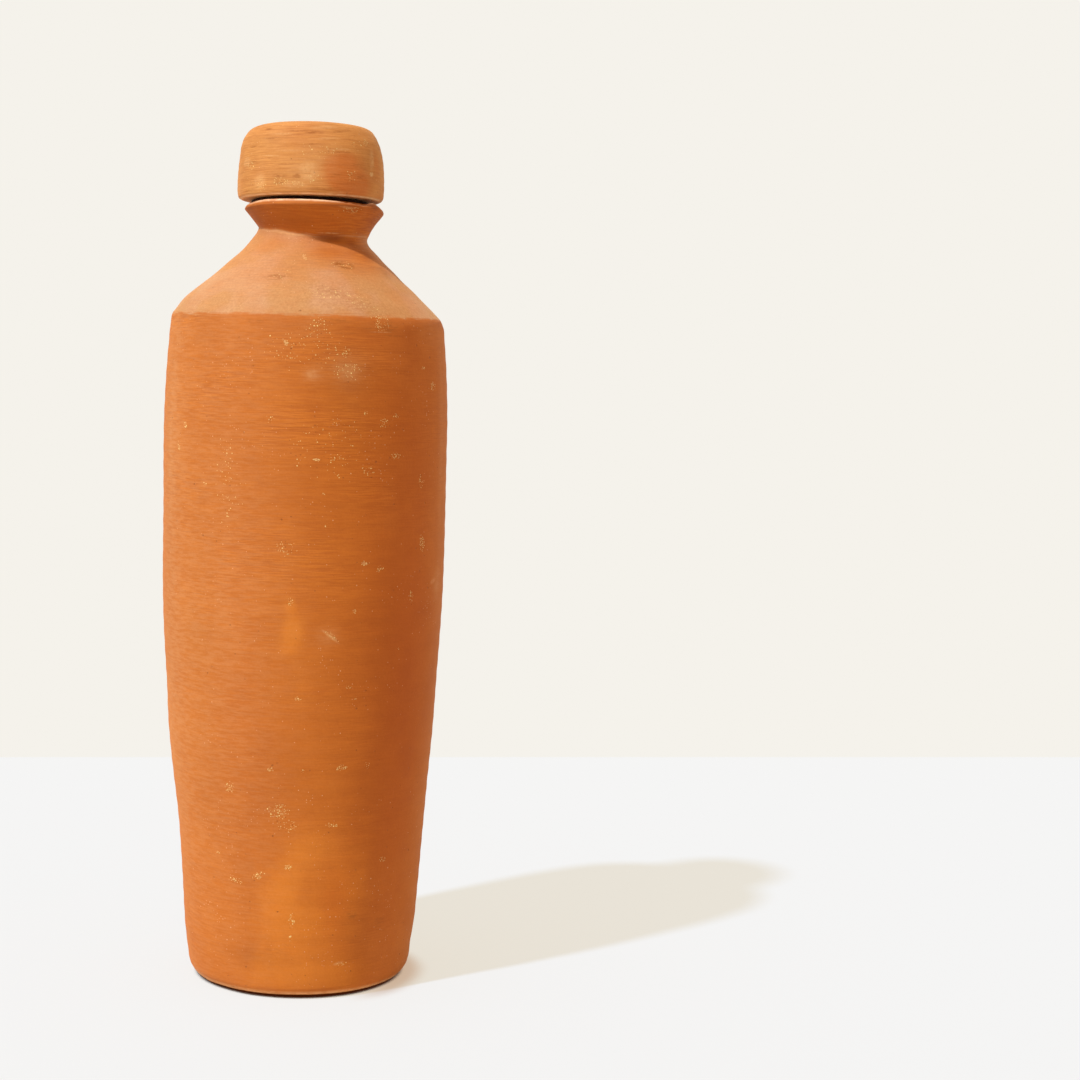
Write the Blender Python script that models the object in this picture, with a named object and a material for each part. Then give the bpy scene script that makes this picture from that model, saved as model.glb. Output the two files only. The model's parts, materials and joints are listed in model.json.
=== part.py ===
"""Hand-thrown clay water bottle with its clay cap and the rubber washer that the cap sits on.

Metres, +Z up. The origin is the centre of the flat base. The bottle leans a little, as a thrown pot
does: its centre line bends to the right (+X) more and more on its way up to the neck, and back (+Y)
above the shoulder. The outside of the neck and collar is a little off centre from the bore.
"""

import math

import bmesh
import bpy
from mathutils import Matrix, Vector

# Bottle, from the base up. Heights are stacked on each other.
BASE_R = 0.0390          # radius that the side would have at the base, without its rounded foot
BELLY_R = 0.0501         # widest radius
BELLY_HEIGHT = 0.1880    # base to where the bottle is widest
LOWER_FULLNESS = 1.9     # how full the side is below the belly: 1 is a straight cone
SHOULDER_R = 0.0470      # radius at the shoulder's edge
SHOULDER_RISE = 0.0450   # belly to the shoulder's edge
UPPER_FULLNESS = 3.2     # how full the side is above the belly
SLOPE_RISE = 0.0269      # shoulder's edge to the root of the neck
SLOPE_SWELL = 0.0009     # how far the slope swells near its edge, and dips in near the neck
NECK_RISE = 0.0023       # short upright neck, up to the crease under the collar
COLLAR_RISE = 0.0075     # crease to the collar's edge
LIP_RISE = 0.0018        # collar's edge to the flat rim

# Mouth, from the bore outwards. Radii are stacked on each other.
BORE_R = 0.0125          # inside of the neck
NECK_WALL = 0.0067       # bore to the outside of the neck
COLLAR_FLARE = 0.0049    # outside of the neck to the collar's edge
LIP_BEVEL = 0.0014       # how far the rim's edge lies inside the collar's
NECK_SHIFT = 0.0014      # how far the outside of the neck and collar sits to the right of the bore

# Walls.
WALL = 0.0065            # wall of the side and of the slope
FLOOR = 0.0085           # thickness of the base

# Rounded corners of the bottle.
FOOT_ROUND = 0.0042
SHOULDER_ROUND = 0.0020
NECK_SWEEP = 0.0034
CREASE_ROUND = 0.0006
TIP_ROUND = 0.0006
LIP_ROUND = 0.0005
MOUTH_ROUND = 0.0008
THROAT_ROUND = 0.0030
INNER_SHOULDER_ROUND = 0.0060
INNER_FOOT_ROUND = 0.0120

# Rubber washer between the rim and the cap.
WASHER_THICKNESS = 0.0007
WASHER_SETBACK = 0.0022  # from the rim's edge to the washer's
SEAT_CLEARANCE = 0.0003  # between the washer and each face that it lies against
WASHER_PLAY = 0.0003     # between the washer's hole and the plug

# Cap: a turned knob with a hollow plug under it.
CAP_OVERHANG = 0.00275   # how far the knob's widest ring reaches past the rim's edge
CAP_HEIGHT = 0.0264      # underside to the top of the crown
CAP_BELLY = 0.0065       # height of the knob's widest ring above its underside
CAP_DRAW = 0.0030        # how far the knob's side draws in from there to the top
CAP_CROWN = 0.0009       # how far the top is domed
CAP_TOP_ROUND = 0.0082
CAP_FOOT_ROUND = 0.0030
PLUG_PLAY = 0.0004       # between the plug and the bore
PLUG_TAPER = 0.0006      # how much slimmer the plug is at its tip
PLUG_LENGTH = 0.0140
PLUG_WALL = 0.0056       # between the plug's outside and its hollow
PLUG_ROUND = 0.0015
HOLLOW_HEIGHT = 0.0120   # how far the hollow goes up into the knob
HOLLOW_ROUND = 0.0030

# Lean of the bottle, in degrees at the neck.
SIDE_LEAN = 1.6          # to the right, gathering from the base up
LEAN_GROWTH = 1.5        # how the side lean gathers: 1 is evenly, more is later
BACK_LEAN = 2.0          # to the back, gathering evenly from the shoulder up
STRAIGHT_NECK = 0.0063   # from the root of the neck down to where the centre line starts to bend

# How finely the round forms are divided.
TURNS = 60               # facets round a full turn
LEAN_SLICES = 50
SIDE_STEPS = 9
SLOPE_STEPS = 6
CAP_SIDE_STEPS = 3
FILLET_STEP = math.radians(24)

# Heights and radii that follow from the sizes above.
SHOULDER = BELLY_HEIGHT + SHOULDER_RISE
NECK_ROOT = SHOULDER + SLOPE_RISE
CREASE = NECK_ROOT + NECK_RISE
COLLAR_EDGE = CREASE + COLLAR_RISE
RIM = COLLAR_EDGE + LIP_RISE
LEAN_END = NECK_ROOT - STRAIGHT_NECK
NECK_R = BORE_R + NECK_WALL
COLLAR_R = NECK_R + COLLAR_FLARE
LIP_R = COLLAR_R - LIP_BEVEL
CAP_R = LIP_R + CAP_OVERHANG
CAP_SEAT = 2 * SEAT_CLEARANCE + WASHER_THICKNESS
PLUG_R = BORE_R - PLUG_PLAY
HOLLOW_R = PLUG_R - PLUG_WALL


def side_radius(height):
    """Outside radius of the bottle's side: widest at the belly, drawn in below and above it."""
    if height < BELLY_HEIGHT:
        share = (BELLY_HEIGHT - height) / BELLY_HEIGHT
        return BELLY_R - (BELLY_R - BASE_R) * share**LOWER_FULLNESS
    share = (height - BELLY_HEIGHT) / SHOULDER_RISE
    return BELLY_R - (BELLY_R - SHOULDER_R) * share**UPPER_FULLNESS


def side_points():
    """The side from the base to the shoulder's edge."""
    heights = [SHOULDER * step / SIDE_STEPS for step in range(SIDE_STEPS + 1)]
    return [Vector((side_radius(height), height)) for height in heights]


def slope_points():
    """The slope from the shoulder's edge to the root of the neck."""
    edge = Vector((SHOULDER_R, SHOULDER))
    root = Vector((NECK_R, NECK_ROOT))
    points = []
    for step in range(SLOPE_STEPS + 1):
        share = step / SLOPE_STEPS
        swell = SLOPE_SWELL * math.sin(math.tau * share)
        points.append(edge.lerp(root, share) + Vector((swell, 0)))
    return points


def inset(corners, wall):
    """Moves a run of corners towards the axis by a wall. The ends move square to their edges."""
    moved = []
    for k, corner in enumerate(corners):
        edges = []
        if k > 0:
            edges.append((corner - corners[k - 1]).normalized())
        if k < len(corners) - 1:
            edges.append((corners[k + 1] - corner).normalized())
        normals = [Vector((-edge.y, edge.x)) for edge in edges]
        mitre = sum(normals, Vector((0, 0)))
        moved.append(corner + mitre * (wall / mitre.dot(normals[0])))
    return moved


def rounded(corners):
    """Outline points from (radius, height, fillet) corners. A fillet is cut down where its edges are short."""
    points = []
    for k, (radius, height, fillet) in enumerate(corners):
        corner = Vector((radius, height))
        if not fillet:
            points.append(corner)
            continue
        to_sides = []
        rooms = []
        for side in (corners[k - 1], corners[k + 1]):
            edge = Vector(side[:2]) - corner
            to_sides.append(edge.normalized())
            rooms.append(edge.length / 2 if side[2] else edge.length)
        back, ahead = to_sides
        half = back.angle(ahead) / 2
        reach = min(fillet / math.tan(half), *rooms)
        centre = corner + (back + ahead).normalized() * (reach / math.cos(half))
        start = corner + back * reach - centre
        end = corner + ahead * reach - centre
        turn = math.atan2(start.x * end.y - start.y * end.x, start.dot(end))
        steps = max(1, math.ceil(abs(turn) / FILLET_STEP))
        for step in range(steps + 1):
            points.append(centre + Matrix.Rotation(turn * step / steps, 2) @ start)
    return points


def bottle_outline():
    """The bottle's section, from the middle of the base up the outside, over the rim and down inside."""
    side = side_points()
    slope = slope_points()
    inner = inset(side + slope[1:], WALL)
    inner_side = [point for point in inner[:SIDE_STEPS] if point.y > FLOOR + INNER_FOOT_ROUND]
    inner_shoulder = inner[SIDE_STEPS]
    inner_slope = [point for point in inner[SIDE_STEPS + 1 :] if point.x > BORE_R]

    # The inner slope runs on until it meets the bore.
    below, above = inner_slope[-2:]
    throat = above + (above - below) * ((above.x - BORE_R) / (below.x - above.x))

    corners = [(0, 0, 0), (*side[0], FOOT_ROUND)]
    corners += [(*point, 0) for point in side[1:-1]]
    corners.append((*side[-1], SHOULDER_ROUND))
    corners += [(*point, 0) for point in slope[1:-1]]
    corners += [
        (*slope[-1], NECK_SWEEP),
        (NECK_R, CREASE, CREASE_ROUND),
        (COLLAR_R, COLLAR_EDGE, TIP_ROUND),
        (LIP_R, RIM, LIP_ROUND),
        (BORE_R, RIM, MOUTH_ROUND),
        (*throat, THROAT_ROUND),
    ]
    corners += [(*point, 0) for point in reversed(inner_slope)]
    corners.append((*inner_shoulder, INNER_SHOULDER_ROUND))
    corners += [(*point, 0) for point in reversed(inner_side)]
    corners += [(side_radius(FLOOR) - WALL, FLOOR, INNER_FOOT_ROUND), (0, FLOOR, 0)]
    return rounded(corners)


def washer_outline():
    """The washer's section, from the inner edge of its lower face, around."""
    inside = PLUG_R + WASHER_PLAY
    outside = LIP_R - WASHER_SETBACK
    low = SEAT_CLEARANCE
    high = SEAT_CLEARANCE + WASHER_THICKNESS
    return [Vector(point) for point in ((inside, low), (outside, low), (outside, high), (inside, high))]


def cap_outline():
    """The cap's section, from the top of its hollow down the plug's inside, round the plug and over the knob."""
    underside = CAP_SEAT
    top = underside + CAP_HEIGHT
    belly = underside + CAP_BELLY
    corners = [
        (0, underside + HOLLOW_HEIGHT, 0),
        (HOLLOW_R, underside + HOLLOW_HEIGHT, HOLLOW_ROUND),
        (HOLLOW_R, underside - PLUG_LENGTH, PLUG_ROUND),
        (PLUG_R - PLUG_TAPER, underside - PLUG_LENGTH, PLUG_ROUND),
        (PLUG_R, underside, 0),
        (CAP_R, underside, CAP_FOOT_ROUND),
        (CAP_R, belly, 0),
    ]
    side_rise = top - CAP_CROWN - CAP_TOP_ROUND - belly
    for step in range(1, CAP_SIDE_STEPS + 1):
        rise = side_rise * step / CAP_SIDE_STEPS
        draw = CAP_DRAW * (rise / (top - belly)) ** 2
        corners.append((CAP_R - draw, belly + rise, 0))
    corners += [(CAP_R - CAP_DRAW, top - CAP_CROWN, CAP_TOP_ROUND), (0, top, 0)]
    return rounded(corners)


def tilt_at(height):
    """How the centre line leans at a height. Above the end of the bend it is straight."""
    bent = min(height, LEAN_END)
    side = math.radians(SIDE_LEAN) * (bent / LEAN_END) ** LEAN_GROWTH
    back = math.radians(BACK_LEAN) * max(0, (bent - SHOULDER) / (LEAN_END - SHOULDER))
    return Matrix.Rotation(side, 3, "Y") @ Matrix.Rotation(-back, 3, "X")


def axis_at(height):
    """Frame on the leaning centre line: its place and tilt at a height of the upright form."""
    place = Vector((0, 0, 0))
    rise = height / LEAN_SLICES
    for step in range(LEAN_SLICES):
        place += tilt_at((step + 0.5) * rise) @ Vector((0, 0, rise))
    return Matrix.Translation(place) @ tilt_at(height).to_4x4()


def off_centre(radius, height):
    """How far a point of the upright bottle sits to the right: all of the collar, none of the bore."""
    rise = min(1, max(0, (height - SHOULDER) / (CREASE - SHOULDER)))
    mouth = BORE_R + MOUTH_ROUND
    outward = min(1, max(0, (radius - mouth) / (NECK_R - mouth)))
    return NECK_SHIFT * rise**2 * outward


def turned(name, outline, closed):
    """Mesh of an outline spun round Z. A closed outline makes a ring; an open one ends on the axis."""
    form = bmesh.new()
    points = [form.verts.new((point.x, 0, point.y)) for point in outline]
    edges = [form.edges.new(pair) for pair in zip(points, points[1:])]
    if closed:
        edges.append(form.edges.new((points[-1], points[0])))
    bmesh.ops.spin(
        form,
        geom=points + edges,
        cent=(0, 0, 0),
        axis=(0, 0, 1),
        angle=math.tau,
        steps=TURNS,
        use_merge=True,
    )
    bmesh.ops.remove_doubles(form, verts=form.verts, dist=1e-6)
    bmesh.ops.recalc_face_normals(form, faces=form.faces)
    mesh = bpy.data.meshes.new(name)
    form.to_mesh(mesh)
    form.free()
    mesh.shade_smooth()
    mesh.set_sharp_from_angle(angle=math.radians(40))
    return mesh


def leaned(mesh):
    """Moves each ring of the upright bottle off centre, and onto the leaning centre line."""
    frames = {}
    for vertex in mesh.vertices:
        height = round(vertex.co.z, 7)
        if height not in frames:
            frames[height] = axis_at(height)
        shift = off_centre(vertex.co.xy.length, height)
        vertex.co = frames[height] @ Vector((vertex.co.x + shift, vertex.co.y, 0))
    mesh.update()
    return mesh


def finish(name, colour, roughness):
    """A plain material with no metal in it."""
    material = bpy.data.materials.new(name)
    material.use_nodes = True
    shader = material.node_tree.nodes["Principled BSDF"]
    shader.inputs["Base Color"].default_value = (*colour, 1)
    shader.inputs["Roughness"].default_value = roughness
    shader.inputs["Metallic"].default_value = 0.0
    return material


def piece(name, mesh, material, parent=None):
    """A named object in the scene, placed by its parent."""
    made = bpy.data.objects.new(name, mesh)
    made.data.materials.append(material)
    made.parent = parent
    bpy.context.scene.collection.objects.link(made)
    return made


def main():
    for old in list(bpy.data.objects):
        bpy.data.objects.remove(old)

    body_clay = finish("body_clay", (0.54, 0.17, 0.036), 0.85)
    cap_clay = finish("cap_clay", (0.62, 0.26, 0.075), 0.85)
    rubber = finish("rubber", (0.02, 0.018, 0.016), 0.7)

    piece("bottle", leaned(turned("bottle", bottle_outline(), closed=False)), body_clay)

    # The cap and the washer stand on the neck's own axis, and slide and turn along it.
    neck_axis = bpy.data.objects.new("neck_axis", None)
    neck_axis.empty_display_size = COLLAR_R
    neck_axis.matrix_world = axis_at(RIM)
    bpy.context.scene.collection.objects.link(neck_axis)
    piece("seal_washer", turned("seal_washer", washer_outline(), closed=True), rubber, neck_axis)
    piece("cap", turned("cap", cap_outline(), closed=False), cap_clay, neck_axis)


main()
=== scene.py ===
"""Looks of a hand-thrown clay water bottle with its clay cap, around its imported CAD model."""

import json
import math

import bmesh
import bpy
from mathutils import Matrix, Vector, noise
from mathutils.geometry import interpolate_bezier


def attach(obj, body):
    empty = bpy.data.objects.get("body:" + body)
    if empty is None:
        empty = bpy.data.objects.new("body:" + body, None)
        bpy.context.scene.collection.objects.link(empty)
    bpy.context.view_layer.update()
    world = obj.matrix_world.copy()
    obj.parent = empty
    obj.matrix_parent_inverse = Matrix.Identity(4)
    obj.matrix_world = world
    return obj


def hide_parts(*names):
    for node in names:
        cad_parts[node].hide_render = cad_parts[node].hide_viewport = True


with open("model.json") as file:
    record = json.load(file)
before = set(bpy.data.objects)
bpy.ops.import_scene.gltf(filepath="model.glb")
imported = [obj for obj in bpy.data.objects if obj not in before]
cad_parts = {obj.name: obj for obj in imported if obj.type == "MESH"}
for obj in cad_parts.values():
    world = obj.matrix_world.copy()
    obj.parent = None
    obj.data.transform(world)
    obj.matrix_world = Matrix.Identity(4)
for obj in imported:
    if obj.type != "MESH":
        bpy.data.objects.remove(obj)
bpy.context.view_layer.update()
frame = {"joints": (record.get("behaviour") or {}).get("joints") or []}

# Bottle. One hollow piece of red clay, thrown on a wheel, cut off the wheel with a wire and fired
# once without glaze. The side was drawn smooth with a rib. The slope above it was left dusty.
MM = 0.001

# The neck's own axis, which the cap turns on, and the middle of the rim.
cap_turn = next(joint for joint in frame["joints"] if joint["name"] == "cap_turn")
RIM_MIDDLE = Vector(cap_turn["pos_m"]) / MM
NECK_AXIS = Vector(cap_turn["axis"])

# Runs of the section's outside, each a list of radius, middle line to the right, and height, in mm.
SIDE = (
    (36.9, 0.0, 0.8),
    (38.3, -0.05, 2.1),
    (39.25, -0.1, 3.8),
    (39.8, -0.15, 5.8),
    (40.1, -0.2, 8.5),
    (40.8, -0.35, 16.0),
    (41.45, -0.15, 24.0),
    (42.5, 0.1, 40.0),
    (43.7, 0.25, 56.0),
    (45.3, 0.1, 72.0),
    (46.8, 0.1, 88.0),
    (47.7, 0.35, 104.0),
    (48.7, 0.5, 120.0),
    (49.35, 0.75, 136.0),
    (49.6, 1.1, 152.0),
    (49.65, 1.4, 168.0),
    (49.75, 1.6, 184.0),
    (49.65, 1.95, 200.0),
    (48.9, 2.2, 216.0),
    (48.25, 2.3, 224.0),
    (47.75, 2.35, 229.5),
    (46.95, 2.1, 232.7),
)
SLOPE = (
    (46.95, 2.1, 232.7),
    (45.35, 1.8, 234.5),
    (42.7, 1.5, 237.5),
    (38.4, 1.65, 241.5),
    (33.6, 2.2, 245.5),
    (29.3, 2.45, 249.5),
    (25.0, 2.85, 253.5),
    (21.15, 3.35, 257.5),
    (19.3, 3.95, 260.3),
    (19.0, 4.45, 262.1),
)
COLLAR = ((24.3, 4.85, 269.65), (23.1, 4.35, 271.4))
RIM_INSET = 10.5         # from the rim's outer edge to the bore
BORE_R = 12.5
BORE_DEPTH = 12.6
WALL = 6.5
SLOPE_WALL = 0.75 * WALL
SLOPE_SHIFT = 0.3        # of the hollow under the slope, to the left
BASE = 8.5
BASE_CORNER = ((29.6, 0, BASE + 3.6), (24.6, 0, BASE + 0.4))
HOLLOW_SIDE = (14, 217)  # heights between which the inside follows the side

# How far apart the section's points lie: first along its smooth runs, and then everywhere. A row has
# a height from and to, a least radius and a spacing. The wide spacing holds elsewhere.
SIDE_STEP = 1.45
SLOPE_STEP = 1.0
INNER_SLOPE_STEP = 2.4
INNER_SIDE_STEP = 4.5
SPACINGS = (
    (257, 300, 17, 0.55),
    (256, 300, -1, 1.1),
    (-1, 6, 30, 0.6),
    (-1, 1, -1, 1.4),
)
WIDE_SPACING = 5.0

# The foot stands on a ring inside its edge. Trimming left the edge just off the table, uneven all the
# way round: angle in degrees from the right, radius, height, how much fuller the side is above it.
FOOT_CONTACT = 33.0
FOOT_REACH = 8.0
FOOT_EDGE = (
    (0, 36.9, 0.5, -0.3),
    (90, 37.4, 0.6, 0.0),
    (180, 37.7, 0.4, -0.5),
    (205, 37.0, 0.5, -0.2),
    (225, 36.3, 0.6, 0.4),
    (245, 36.6, 0.8, 1.0),
    (270, 36.7, 1.0, 1.1),
    (292, 36.7, 0.95, 0.9),
    (320, 36.0, 0.7, 0.2),
    (340, 36.0, 0.5, -0.2),
    (360, 36.9, 0.5, -0.3),
)
FULLNESS_RATE = 5.5      # how soon the side is fuller, going up from the edge

# The side slants in above the foot's right. The collar flares further to the front, which grows from
# a radius and a height, over a reach of each.
FOOT_SLANT = 0.8
SLANT_ANGLE = math.radians(-10)
SLANT_REACH = 18.0
SLANT_FADE = 9.0
FLARE_FORWARD = 2.0
FLARE_FROM = (13.0, 262.5)
FLARE_REACH = (8.0, 7.0)

# The crease under the collar was pressed by hand and wanders up and down: angle, rise.
CREASE_SPREAD = 9.0
CREASE_RISE = (
    (0, -1.0),
    (90, -0.2),
    (180, 1.1),
    (227, -0.55),
    (257, -2.0),
    (273, -2.7),
    (308, -1.7),
    (360, -1.0),
)
CREASE_FILL = 0.30       # rounds the crease at the right
FILL_SPREAD = 2.2

# The lip wavers outside the flat that the washer lies on, and the collar's edge with it: angle, drop
# of the lip, drop of the edge.
LIP_FLAT = 20.6
LIP_WIDTH = 2.2
LIP_RISE = 1.5
EDGE_LOW = 265.0
EDGE_RISE = 4.5
LIP_DROP = (
    (0, 0.4, 0.7),
    (90, 0.3, 0.2),
    (180, 0.5, 0.4),
    (202, 0.6, 0.2),
    (213, 0.5, 0.0),
    (225, 0.3, 0.0),
    (260, 0.28, 0.0),
    (275, 0.33, 0.0),
    (288, 0.5, 0.0),
    (302, 0.85, 0.0),
    (319, 0.95, 0.0),
    (333, -0.3, 0.0),
    (345, 0.0, 0.22),
    (360, 0.4, 0.7),
)

# Small chips in the lip at the front right, outside a radius and above a height. The cosine sets how
# far round they reach.
CHIP_FROM = (21.0, 267.0)
CHIP_ANGLE = math.radians(-50)
CHIP_COS = 0.972
CHIP_DEPTH = 0.9
CHIP_SIZE = 1.9

# Ripples left by the hands: their height, and the size of their lumps. The wheel leaves one shallow
# spiral, which is deeper inside, where no rib smoothed it.
RIPPLES = ((0.10, 34), (0.045, 9), (0.02, 3))
SPIRAL_HEIGHT = 0.05
SPIRAL_RISE = 6.5
SPIRAL_INSIDE = 5

# The wire that cut the pot from the wheel left wavering arcs on its underside.
UNDERSIDE = 0.05
WIRE_CENTRE = (-62.0, -20.0)
WIRE_DEPTH = 0.11
WIRE_WAVES = 2.1         # radians to the mm
WIRE_WANDER = 1.5
WIRE_LUMPS = 12

# The bottle leans to the right from the foot up. Above its shoulder the neck bends back as well.
FOOT_LEVEL = 0.4
LEAN_RISE = 12.0
BEND_LOW = 233.0
BEND_REACH = 20.6
BEND_HIGH = BEND_LOW + BEND_REACH

# Rounded corners: how far each one reaches along the section, in mm.
CONTACT_ROUND = 0.8
FOOT_ROUND = 0.5
SHOULDER_ROUND = 1.0
CREASE_ROUND = 0.4
TIP_ROUND = 0.45
LIP_ROUND = 0.45
MOUTH_ROUND = 1.2
BORE_ROUND = 2.0

TURNS = 192              # points round it


def smooth_run(stations, spacing):
    """Points of a smooth line through a run of stations, about a spacing apart."""
    stations = [Vector(station) for station in stations]
    line = []
    for k in range(len(stations) - 1):
        start, end = stations[k], stations[k + 1]
        before = stations[max(k - 1, 0)]
        after = stations[min(k + 2, len(stations) - 1)]
        reach = (end - start).length
        leave = (end - before).normalized() * (reach / 3)
        arrive = (after - start).normalized() * (reach / 3)
        steps = max(2, round(reach / spacing) + 1)
        line += interpolate_bezier(start, start + leave, end - arrive, end, steps)[:-1]
    return line + [stations[-1]]


def wire(form, line):
    """Joins a line of points, each a radius, a middle and a height in mm, into one wire in metres."""
    points = [form.verts.new(Vector(place) * MM) for place in line]
    for pair in zip(points, points[1:]):
        form.edges.new(pair)
    return points


def round_corner(form, corner, reach, segments):
    """Rounds one corner of a wire."""
    bmesh.ops.bevel(form, geom=[corner], offset=reach * MM, offset_type="OFFSET", segments=segments,
                    profile=0.5, affect="VERTICES", material=-1)


def even_out(form, spacing):
    """Divides a wire's long edges until none is longer than a spacing in mm."""
    while True:
        long_edges = [edge for edge in form.edges if edge.calc_length() > spacing(edge) * MM]
        if not long_edges:
            return
        bmesh.ops.subdivide_edges(form, edges=long_edges, cuts=1)


def turn_round(form, turns):
    """Spins a wire round Z. Each point keeps its length along the section and its middle line.

    Gives the layer of middle lines, and the section's points: radius, height, length along it.
    """
    along = form.verts.layers.float.new("along")
    middle = form.verts.layers.float.new("middle")
    first = min(form.verts, key=lambda point: (len(point.link_edges), point.co.z))
    here, last, travelled = first, None, 0.0
    section = []
    while here:
        here[along] = travelled
        section.append((here.co.x, here.co.z, travelled))
        ahead = [edge.other_vert(here) for edge in here.link_edges if edge.other_vert(here) != last]
        last, here = here, ahead[0] if ahead else None
        if here:
            travelled += (here.co - last.co).length
        if here == first:
            break
    for point in form.verts:
        point[middle] = point.co.y
        point.co.y = 0

    # One eighth is spun, and then doubled three times.
    bmesh.ops.spin(form, geom=form.verts[:] + form.edges[:], cent=(0, 0, 0), axis=(0, 0, 1),
                   angle=math.tau / 8, steps=turns // 8, use_merge=False)
    for share in (8, 4, 2):
        whole = form.verts[:] + form.edges[:] + form.faces[:]
        copied = bmesh.ops.duplicate(form, geom=whole)["geom"]
        points = [part for part in copied if isinstance(part, bmesh.types.BMVert)]
        bmesh.ops.rotate(form, cent=(0, 0, 0), matrix=Matrix.Rotation(math.tau / share, 3, "Z"),
                         verts=points)
    bmesh.ops.remove_doubles(form, verts=form.verts, dist=1e-6)
    bmesh.ops.recalc_face_normals(form, faces=form.faces)
    return middle, section


def along_at(section, radius, height):
    """Length along a section to the point nearest a radius and a height in mm."""
    return min(section, key=lambda step: math.hypot(step[0] - radius * MM, step[1] - height * MM))[2]


def ripple(point, size):
    """Smooth unevenness from -1 to 1, in lumps about a size in mm across."""
    return noise.noise(Vector(point) / (size * MM))


def finished(name, form):
    """Object of a finished form, smooth shaded, at the origin."""
    mesh = bpy.data.meshes.new(name)
    form.to_mesh(mesh)
    form.free()
    mesh.shade_smooth()
    piece = bpy.data.objects.new(name, mesh)
    bpy.context.scene.collection.objects.link(piece)
    return piece


def bottle_section(form):
    """Wire of the bottle's section, from the middle of the base up the outside and down inside."""
    rim_radius, _, rim_height = COLLAR[-1]
    inner_slope = [(radius - SLOPE_WALL, middle - SLOPE_SHIFT, height - SLOPE_WALL)
                   for radius, middle, height in SLOPE[1:6]]
    inner_side = [(radius - WALL, middle, height)
                  for radius, middle, height in SIDE if HOLLOW_SIDE[0] < height < HOLLOW_SIDE[1]]
    mouth = (rim_radius - RIM_INSET, RIM_MIDDLE.x, rim_height)
    throat = (BORE_R, RIM_MIDDLE.x - BORE_DEPTH * NECK_AXIS.x, rim_height - BORE_DEPTH)
    outline = [
        (0, 0, 0),
        (FOOT_CONTACT, 0, 0),
        *smooth_run(SIDE, SIDE_STEP),
        *smooth_run(SLOPE, SLOPE_STEP)[1:],
        *COLLAR,
        mouth,
        throat,
        *smooth_run(inner_slope[::-1], INNER_SLOPE_STEP),
        *smooth_run(inner_side[::-1], INNER_SIDE_STEP),
        *BASE_CORNER,
        (0, 0, BASE),
    ]

    def rounded(place):
        return tuple(round(value, 2) for value in place)

    points = dict(zip(map(rounded, outline), wire(form, outline)))
    corners = (
        ((FOOT_CONTACT, 0, 0), CONTACT_ROUND, 3),
        (SIDE[0], FOOT_ROUND, 3),
        (SIDE[-1], SHOULDER_ROUND, 4),
        (SLOPE[-1], CREASE_ROUND, 3),
        (COLLAR[0], TIP_ROUND, 4),
        (COLLAR[1], LIP_ROUND, 4),
        (mouth, MOUTH_ROUND, 5),
        (throat, BORE_ROUND, 4),
    )
    for place, reach, segments in corners:
        round_corner(form, points[rounded(place)], reach, segments)

    def spacing(edge):
        radius, height = (sum(vert.co[axis] for vert in edge.verts) / 2 / MM for axis in (0, 2))
        return next((gap for low, high, least, gap in SPACINGS
                     if low < height < high and radius > least), WIDE_SPACING)

    even_out(form, spacing)


def round_table(rows, angle):
    """Values at an angle from rows that each start with an angle in degrees, from 0 to 360."""
    turned = math.degrees(angle) % 360
    before, after = next(pair for pair in zip(rows, rows[1:]) if turned <= pair[1][0])
    share = (turned - before[0]) / (after[0] - before[0])
    share *= share * (3 - 2 * share)
    return [low + (high - low) * share for low, high in zip(before[1:], after[1:])]


def ramp(value, start, reach):
    """0 up to a start, and from there up to 1 over a reach."""
    return min(1, max(0, (value - start) / reach))


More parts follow.
